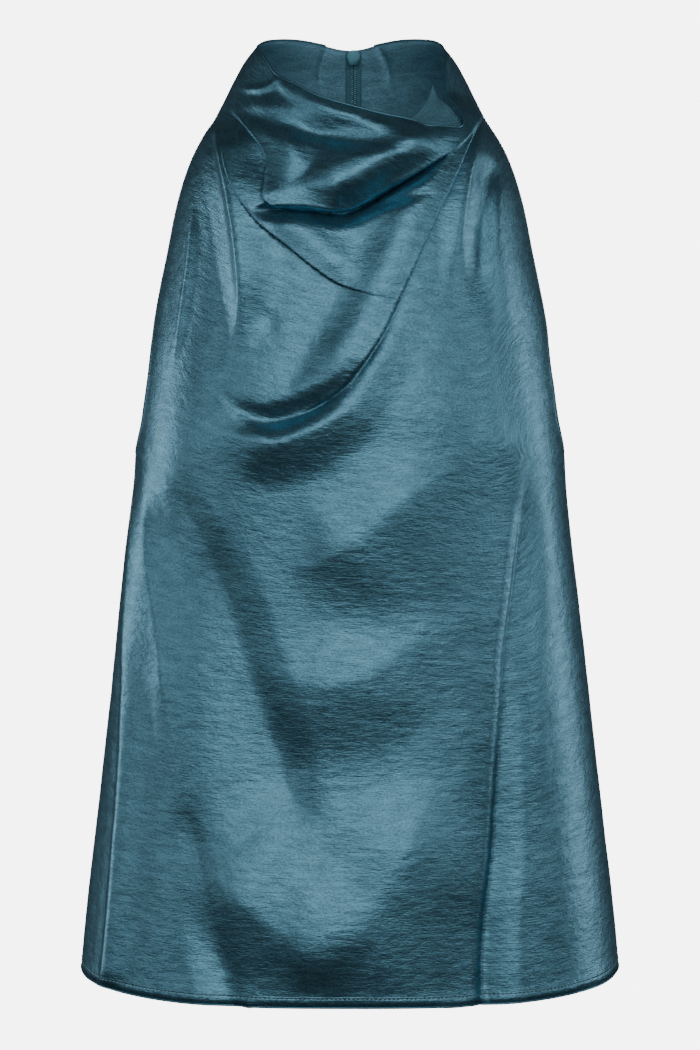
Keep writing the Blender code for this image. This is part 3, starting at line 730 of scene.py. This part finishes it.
print("armholes from", ARMHOLE_TOP, "to", ARMHOLE_BOTTOM, "mm")

# %% [markdown]
# ## Satin that looks like cloth
# The photo shows a satin that was left a little crinkled on purpose.  Its sheen comes from long
# threads that lie flat, so the shader is part metal and rather smooth.  Three sizes of noise on
# the flat cut cloth bend the light: the weft threads, thicker slubs, and the crinkle.  Two more
# make the colour itself uneven, in flecks and in clouds, since an even colour looks like plastic.

# %% Noise on the cut cloth
Grain = namedtuple("Grain", "across down detail")
WEFT = Grain(4, 0.9, 2.0)           # mm across and down the cut, and how much finer noise is in it
SLUB = Grain(26, 2.6, 3.0)
CRINKLE = Grain(8, 5, 5.0)
PUCKER = Grain(3.5, 9, 1.0)
FLECK = Grain(1.6, 1.1, 2.0)
CLOUD = Grain(14, 6, 4.0)


def noise_on_cut(finish, cut, grain):
    """Noise whose grains have the given sizes on the cut cloth."""
    scale = (1 / (grain.across * MM), 1 / (grain.down * MM), 1)
    place = finish.add("ShaderNodeMapping", {}, {"Vector": cut, "Scale": scale})
    return finish.add("ShaderNodeTexNoise", {"noise_dimensions": "2D"},
                      {"Vector": place, "Scale": 1.0, "Detail": grain.detail})


def bump(finish, height, depth, under=None):
    """A normal that is bent as if the height were so many millimetres deep, on top of another."""
    values = {"Strength": 1.0, "Distance": depth * MM, "Height": height}
    if under:
        values["Normal"] = under
    return finish.add("ShaderNodeBump", {}, values)


print("a crinkle is", CRINKLE.across, "mm wide and", CRINKLE.down, "mm high")

# %% [markdown]
# Where an edge is turned and stitched, the double cloth stands up, the stitching pulls a groove,
# and the cloth beside it puckers.  The second UV map holds each point's distance to the hem and
# to the armhole, so ramps of those distances draw all three.

# %% Turned edges
TURNED_HEM, TURNED_ARMHOLE = 6.0, 4.5   # mm from the edge to the stitching
BAND_FROM, BAND_TO = 0.9, 1.6       # mm past the stitching between which the double cloth ends
GROOVE_REACH, PUCKER_REACH = 1.0, 7     # mm from the stitching
BAND_RISE, GROOVE_SINK, PUCKER_RISE = 0.5, 0.5, 1.2     # shares of the edge's depth


def ramp_down(finish, distance, start, end):
    """1 below one distance and 0 past another, both in millimetres, with a soft change."""
    return finish.add("ShaderNodeMapRange", {"interpolation_type": "SMOOTHSTEP"},
                      {"Value": distance, "From Min": start * MM, "From Max": end * MM,
                       "To Min": 1.0, "To Max": 0.0})


def turned_edge(finish, distance, stitched, pucker):
    """The height of a turned edge: double cloth, the groove of its stitches, and puckers."""
    band = ramp_down(finish, distance, stitched + BAND_FROM, stitched + BAND_TO)
    groove = ramp_down(finish, abs(distance - stitched * MM), 0.0, GROOVE_REACH)
    drawn = ramp_down(finish, distance, stitched, stitched + PUCKER_REACH)
    return band * BAND_RISE - groove * GROOVE_SINK + drawn * pucker * PUCKER_RISE


print("stitching", TURNED_HEM, "mm above the hem and", TURNED_ARMHOLE, "mm inside the armholes")

# %% Satin
SATIN_COLOUR = (0.108, 0.27, 0.365)
DARK_SHARE, LIGHT_SHARE = 0.7, 1.3  # of the colour, in its darkest and its lightest threads
FLECK_SHARE, CLOUD_SHARE, TONE_DROP = 1.7, 1.1, 0.9     # how the noises make dark and light
WEFT_DEPTH, SLUB_DEPTH, CRINKLE_DEPTH, EDGE_DEPTH = 0.17, 0.16, 0.42, 0.35  # mm
SLUB_ROUGHNESS = 0.14               # how much rougher the satin is on its slubs


def shade(colour, share):
    """A colour made darker or lighter."""
    return tuple(channel * share for channel in colour) + (1,)


def satin_finish(name, roughness, metallic):
    """Crinkled satin with stitched edges, for either side of the cloth."""
    finish = Finish(name, SATIN_COLOUR, roughness, metallic)
    cut = finish.add("ShaderNodeUVMap", {"uv_map": "cut"})
    edges = finish.add("ShaderNodeUVMap", {"uv_map": "edges"})
    to_hem = finish.add("ShaderNodeSeparateXYZ", {}, {0: edges}, 0)
    to_armhole = finish.add("ShaderNodeSeparateXYZ", {}, {0: edges}, 1)
    slub = noise_on_cut(finish, cut, SLUB)
    pucker = noise_on_cut(finish, cut, PUCKER)
    weft = bump(finish, noise_on_cut(finish, cut, WEFT), WEFT_DEPTH)
    slubs = bump(finish, slub, SLUB_DEPTH, weft)
    crinkle = bump(finish, noise_on_cut(finish, cut, CRINKLE), CRINKLE_DEPTH, slubs)
    hem = bump(finish, turned_edge(finish, to_hem, TURNED_HEM, pucker), EDGE_DEPTH, crinkle)
    armhole = bump(finish, turned_edge(finish, to_armhole, TURNED_ARMHOLE, pucker), EDGE_DEPTH, hem)
    flecks, clouds = noise_on_cut(finish, cut, FLECK), noise_on_cut(finish, cut, CLOUD)
    tone = flecks * FLECK_SHARE + clouds * CLOUD_SHARE - TONE_DROP
    tint = finish.mix(tone, shade(SATIN_COLOUR, DARK_SHARE), shade(SATIN_COLOUR, LIGHT_SHARE))
    finish.surface(Base_Color=tint, Normal=armhole, Roughness=roughness + slub * SLUB_ROUGHNESS)
    return finish


satin = satin_finish("satin", 0.32, 0.88)
satin_reverse = satin_finish("satin_reverse", 0.50, 0.45)
print("satin nodes:", len(satin.tree.nodes))

# %% [markdown]
# ## The three cut pieces
# The front is one piece from hem to neckline, so the whole cowl is folded into it.  The backs
# meet at the zip.  Each stands for its solid, which is hidden, and moves with the garment.

# %% Make the cloth
def sew_on(piece, node):
    """Hides the solid that a piece of cloth stands for, and lets the piece move with the garment."""
    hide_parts(node)
    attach(piece, "garment")


sharp_routes = [fold.route for fold in COWL_LAYERS.values()]
front_cloth, front_area = cloth("front_cloth", columns=160, rows=200, crowded=0.45,
                                place=front_points, fine_routes=sharp_routes)
sew_on(front_cloth, "front")
left_cloth, left_area = cloth("back_left_cloth", columns=60, rows=130, crowded=0.3,
                             place=left_points)
sew_on(left_cloth, "back_left")
right_cloth, right_area = cloth("back_right_cloth", columns=60, rows=130, crowded=0.3,
                               place=right_points)
sew_on(right_cloth, "back_right")

# %% [markdown]
# ## The turned edge inside the neck
# At the garment's left the neckline's turned edge has come loose from the cloth and stands up
# inside it.  It shows as a small triangle that is lighter than the shaded satin round it, since
# the dull reverse of the cloth scatters more light.

# %% Neckline facing
FACING_TOP = (Edge(24, -21), Edge(31, -13), Edge(38, -4), Edge(45.5, 6))
FACING_HIDDEN = 3                   # mm below the neckline
FACING_INSET = 4.6                  # mm from the front's outer skin
FACING_THICKNESS = 0.6


def facing_points(across, down):
    """The loose edge, just inside the front and a little higher."""
    start, end = FACING_TOP[0].angle, FACING_TOP[-1].angle
    angle = start + (end - start) * across
    top = read_table(FACING_TOP, "height", angle)
    bottom = read_table(NECKLINE, "height", angle) - FACING_HIDDEN
    height = top + (bottom - top) * down
    _, out = ring(angle, height)
    return folded(angle, height, FRONT_FOLDS, seen_from_front=True) - out * FACING_INSET


facing, facing_area = cloth("facing_cloth", columns=24, rows=16, crowded=0, place=facing_points,
                            thickness=FACING_THICKNESS, finishes=(satin_reverse,))
sew_on(facing, "front_facing")

# %% [markdown]
# ## Rolled rims
# A turned edge is round, not square, and a thin line of light runs along it.  A bevel could only
# round half of the thin shell, so a narrow roll of the same satin follows the neckline, the
# armholes and the hem instead.  It needs to know which way is out of the cloth, which two pairs
# of points close by tell.

# %% Outward directions
PROBE = 0.002                       # share of a piece from a point to those close by


def surface(place, across, down):
    """Points of the cloth and its outward directions."""
    along = place(np.minimum(across + PROBE, 1), down) - place(np.maximum(across - PROBE, 0), down)
    drop = place(across, np.minimum(down + PROBE, 1)) - place(across, np.maximum(down - PROBE, 0))
    normals = np.cross(drop, along)
    return place(across, down), normals / np.linalg.norm(normals, axis=-1, keepdims=True)


halfway = np.full(1, 0.5)
print("out of the front, in its middle:", surface(front_points, halfway, halfway)[1][0].round(2))

# %% Rims
RIM = 0.75                          # mm, its radius
AROUND = 8                          # faces round it
STATIONS_WHOLE, STATIONS_TO_DIP = 220, 180  # along a whole edge, and from a side to the zip's dip
STATIONS_ARMHOLE = 90
RIM_START = ARMHOLE_TOP - 4         # mm, where the two sides of an armhole have parted
ARMHOLE_HEIGHTS = np.linspace(RIM_START, ARMHOLE_BOTTOM, STATIONS_ARMHOLE)
SIDE_TOP, SIDE_BOTTOM = NECKLINE[0].height, HEM[0].height
ARMHOLE_DOWN = (SIDE_TOP - ARMHOLE_HEIGHTS) / (SIDE_TOP - SIDE_BOTTOM)


def rim(name, place, across, down):
    """A narrow roll along a line of shares on a piece of cloth."""
    points, normals = surface(place, across, down)
    tangents = np.gradient(points, axis=0)
    sides = np.cross(normals, tangents)
    sides /= np.linalg.norm(sides, axis=-1, keepdims=True)
    mesh = bmesh.new()
    last = len(points) - 1
    bmesh.ops.create_grid(mesh, x_segments=last, y_segments=AROUND, size=0.5)
    for vertex in mesh.verts:
        station = round((vertex.co.x + 0.5) * last)
        turn = 2 * math.pi * vertex.co.y
        offset = math.cos(turn) * normals[station] + math.sin(turn) * sides[station]
        vertex.co = (points[station] - normals[station] * SHELL / 2 + RIM * offset) * MM
    bmesh.ops.remove_doubles(mesh, verts=mesh.verts, dist=MERGE)
    bmesh.ops.recalc_face_normals(mesh, faces=mesh.faces)
    piece = as_object(name, mesh, satin)
    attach(piece, "garment")
    print(name, len(piece.data.polygons), "faces")


whole = np.linspace(0, 1, STATIONS_WHOLE)
top, bottom = np.zeros_like(whole), np.ones_like(whole)
rim("neck_rim", front_points, whole, top)
rim("collar_rim_left", left_points, whole[:STATIONS_TO_DIP], top[:STATIONS_TO_DIP])
rim("collar_rim_right", right_points, whole[-STATIONS_TO_DIP:], top[-STATIONS_TO_DIP:])
rim("front_hem_rim", front_points, whole, bottom)
rim("back_hem_rim_left", left_points, whole, bottom)
rim("back_hem_rim_right", right_points, whole, bottom)
near, far = np.zeros_like(ARMHOLE_DOWN), np.ones_like(ARMHOLE_DOWN)
rim("armhole_rim_front_right", front_points, near, ARMHOLE_DOWN)
rim("armhole_rim_front_left", front_points, far, ARMHOLE_DOWN)
rim("armhole_rim_back_left", left_points, near, ARMHOLE_DOWN)
rim("armhole_rim_back_right", right_points, far, ARMHOLE_DOWN)

# %% [markdown]
# ## Stitches
# The hem and the armholes are top-stitched.  Each stitch is a small drop that lies along the
# line, at an even pitch, and dips into the cloth at both ends, as thread does.

# %% Stitch rows
Stitch = namedtuple("Stitch", "length width height pitch")
STITCH = Stitch(2.1, 0.52, 0.45, 3.0)   # mm
DROP_ROUND, DROP_LONG = 6, 4        # faces round a stitch, and from end to end of it
UNIT_RADIUS = 0.5                   # of a ball that is one unit across
thread = Finish("thread", (0.30, 0.50, 0.56), 0.5)


def stitches(name, place, across, down):
    """Even stitches along a line of shares on a piece of cloth."""
    points, normals = surface(place, across, down)
    run = np.concatenate([[0], np.cumsum(np.linalg.norm(np.diff(points, axis=0), axis=1))])
    mesh = bmesh.new()
    for station in np.arange(STITCH.pitch, run[-1] - STITCH.pitch, STITCH.pitch):
        ends = [[np.interp(station + way * STITCH.length / 2, run, points[:, axis]) for axis in range(3)]
                for way in (-1, 1)]
        start, end = (Vector(end) * MM for end in ends)
        out = Vector([np.interp(station, run, normals[:, axis]) for axis in range(3)]).normalized()
        side = out.cross(end - start).normalized()
        turn = Matrix((end - start, side * STITCH.width * MM, out * STITCH.height * MM)).transposed()
        bmesh.ops.create_uvsphere(mesh, u_segments=DROP_ROUND, v_segments=DROP_LONG,
                                  radius=UNIT_RADIUS,
                                  matrix=Matrix.Translation((start + end) / 2) @ turn.to_4x4())
    bmesh.ops.recalc_face_normals(mesh, faces=mesh.faces)
    piece = as_object(name, mesh, thread)
    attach(piece, "garment")
    print(name, len(piece.data.polygons) // (DROP_ROUND * DROP_LONG), "stitches")


# %% Hem stitches
BACK_LENGTH = 650                   # mm, from the collar to the hem
front_angles = 180 * whole - 90
front_length = read_table(NECKLINE, "height", front_angles) - read_table(HEM, "height", front_angles)
stitches("hem_stitches_front", front_points, whole, 1 - TURNED_HEM / front_length)
back_down = np.full_like(whole, 1 - TURNED_HEM / BACK_LENGTH)
stitches("hem_stitches_back_left", left_points, whole, back_down)
stitches("hem_stitches_back_right", right_points, whole, back_down)

# %% Armhole stitches
EDGE_PROBE = 0.004                  # share of a piece over which its width is measured


def beside(place, down, far):
    """Shares across for a line beside an armhole edge; `far` is 1 for the edge at across = 1."""
    inwards = -1 if far else 1
    edge = np.full_like(down, float(far))
    inner = edge + inwards * EDGE_PROBE
    length = np.linalg.norm(place(inner, down) - place(edge, down), axis=-1) / EDGE_PROBE
    return edge + inwards * TURNED_ARMHOLE / length


for name, place, far in (("front_right", front_points, 0), ("front_left", front_points, 1),
                         ("back_left", left_points, 0), ("back_right", right_points, 1)):
    stitches(f"armhole_stitches_{name}", place, beside(place, ARMHOLE_DOWN, far), ARMHOLE_DOWN)

# %% [markdown]
# ## The zip
# A concealed zip is sewn to the inside of the back seam, with its coils on the inner side.  The
# photo looks into the collar and sees two rows of small loops between woven tapes, and above
# them the plate of the slider.  Each loop is a flattened bead, since no more shows of it.

# %% Zip tapes
TAPE_TOP, TAPE_BOTTOM = 40, -121.4
TAPE_INSET = 2.35                   # mm from the back's outer skin
TAPE_NEAR, TAPE_FAR = 0.3, 5.4      # mm from the centre back
TAPE_SPREAD = 0.9                   # mm more, beside the slider's slot
TAPE_THICKNESS = 0.5
RIB_SCALE, RIB_DEPTH = 320.0, 0.15  # about one rib to a millimetre, and mm deep


def centre_back(height):
    """How far back the cloth's outer skin lies at the centre back."""
    return ring(np.full_like(height, 180.0), height)[0][..., 1]


def tape_points(across, down, hand):
    """A tape at shares of the way across and down; hand 1 is the left one."""
    height = TAPE_TOP + (TAPE_BOTTOM - TAPE_TOP) * down
    near = TAPE_NEAR + TAPE_SPREAD * smooth((height - SLOT_BOTTOM) / SLOT_EASE)
    start = TAPE_FAR if hand > 0 else -near
    offset = start + (near - TAPE_FAR) * across
    return np.stack([CENTRE_BACK + offset, centre_back(height) - TAPE_INSET, height], -1)


def tape_finish():
    """Woven tape with a rib to each thread across it."""
    finish = Finish("tape", (0.05, 0.17, 0.235), 0.7)
    cut = finish.add("ShaderNodeUVMap", {"uv_map": "cut"})
    ribs = finish.add("ShaderNodeTexWave", {"bands_direction": "Y"}, {"Vector": cut, "Scale": RIB_SCALE}, 1)
    finish.surface(Normal=bump(finish, ribs, RIB_DEPTH))
    return finish


tape = tape_finish()
for hand, side in ((1, "left"), (-1, "right")):
    strip, strip_area = cloth(f"zip_tape_{side}_cloth", columns=4, rows=60, crowded=0,
                              place=partial(tape_points, hand=hand), thickness=TAPE_THICKNESS,
                              finishes=(tape,))
    sew_on(strip, f"zip_tape_{side}")

# %% Coils
COIL_TOP, COIL_BOTTOM = 30, -117
COIL_OFFSET = 1.0                   # mm from the centre back to the middle of a loop
COIL_DEPTH = TAPE_INSET + 1.4
LOOP = (2.3, 1.0, 0.95)             # mm across, deep and high
LOOP_PITCH, LOOP_TILT = 1.44, 0.2   # mm and radians
LOOP_ROUND, LOOP_LONG = 8, 4        # faces round a loop and over it
coil = Finish("coil", (0.16, 0.42, 0.52), 0.3, 0.1)
mesh = bmesh.new()
for hand in (-1, 1):                # the left row stands half a pitch lower, so the loops mesh
    heights = np.arange(COIL_TOP - (hand > 0) * LOOP_PITCH / 2, COIL_BOTTOM, -LOOP_PITCH)
    for height, depth in zip(heights, centre_back(heights)):
        middle = Vector((CENTRE_BACK + hand * COIL_OFFSET, depth - COIL_DEPTH, height)) * MM
        matrix = (Matrix.Translation(middle) @ Matrix.Rotation(hand * LOOP_TILT, 4, "Y")
                  @ Matrix.Diagonal((*LOOP, 1)))
        bmesh.ops.create_uvsphere(mesh, u_segments=LOOP_ROUND, v_segments=LOOP_LONG,
                                  radius=UNIT_RADIUS * MM, matrix=matrix)
coils = as_object("zip_coils", mesh, coil)
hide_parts("zip_chain")
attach(coils, "garment")
print("coil loops:", len(coils.data.polygons) // (LOOP_ROUND * LOOP_LONG))

# %% [markdown]
# ## Slider, stop and pull tab
# These are small castings with painted faces and rounded edges.  The solids already have their
# forms, so nothing is modelled anew: a copy of each is merged and its sharp edges are bevelled.
# The pull tab turns in the slider's loop with its own body.

# %% Zip metal
ROUNDING, ROUNDING_STEPS = 0.3, 2   # mm, and the faces across a rounded edge
FLAT, SHARP = math.radians(2), math.radians(40)     # bends that are no edge, and that are sharp
paint = Finish("paint", (0.05, 0.165, 0.22), 0.35, 0.6)


def rounded_copy(name, node, body):
    """A copy of a solid with its sharp edges rounded."""
    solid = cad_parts[node]
    mesh = bmesh.new()
    mesh.from_mesh(solid.data)
    mesh.transform(solid.matrix_world)
    bmesh.ops.remove_doubles(mesh, verts=mesh.verts, dist=MERGE)
    bmesh.ops.dissolve_limit(mesh, angle_limit=FLAT, verts=mesh.verts, edges=mesh.edges)
    sharp = [side for side in mesh.edges if side.calc_face_angle(0) > SHARP]
    bmesh.ops.bevel(mesh, geom=sharp, offset=ROUNDING * MM, segments=ROUNDING_STEPS, profile=0.5,
                    affect="EDGES", clamp_overlap=True, material=-1)
    piece = as_object(name, mesh, paint)
    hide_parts(node)
    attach(piece, body)
    print(name, len(piece.data.polygons), "faces")


rounded_copy("slider", "zip_slider", "garment")
rounded_copy("stop", "zip_stop", "garment")
rounded_copy("pull", "zip_pull", "pull_tab")
